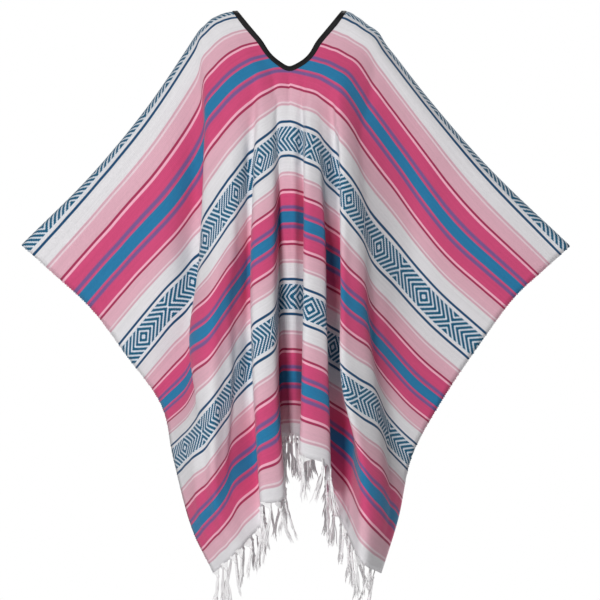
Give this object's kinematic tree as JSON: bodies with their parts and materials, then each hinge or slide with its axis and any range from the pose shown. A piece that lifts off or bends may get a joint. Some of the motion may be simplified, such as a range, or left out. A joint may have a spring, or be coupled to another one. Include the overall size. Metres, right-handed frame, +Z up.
{
  "type": "serape poncho",
  "caption": "Worn serape poncho: a striped woven rectangle folded over the shoulders, bound V neck, open sides, diamond bands and knotted hem fringe.",
  "frame": {"origin": "on top of the wearer's shoulders, midway between the two ends of the neck opening, where the cloth rests", "axes": "+Z up, -Y to the front of the garment, +X to the right of it as seen from the front, which is the wearer's left"},
  "size_m": [1.0476, 0.4333, 1.128],
  "materials": {
    "striped_cloth_front": "woven, striped across in hot pink, pale pink, white and blue, with bands of small stepped diamonds",
    "striped_cloth_back": "woven, the same stripes as the front",
    "black_tape": "plain woven tape, folded over the edge and sewn",
    "white_yarn_front": "loose twisted warp ends, knotted at the hem",
    "white_yarn_back": "loose twisted warp ends, knotted at the hem"
  },
  "bodies": {
    "root": {"front_panel": "striped_cloth_front", "back_panel": "striped_cloth_back", "neck_binding": "black_tape", "front_fringe": "white_yarn_front", "back_fringe": "white_yarn_back"}
  },
  "joints": []
}
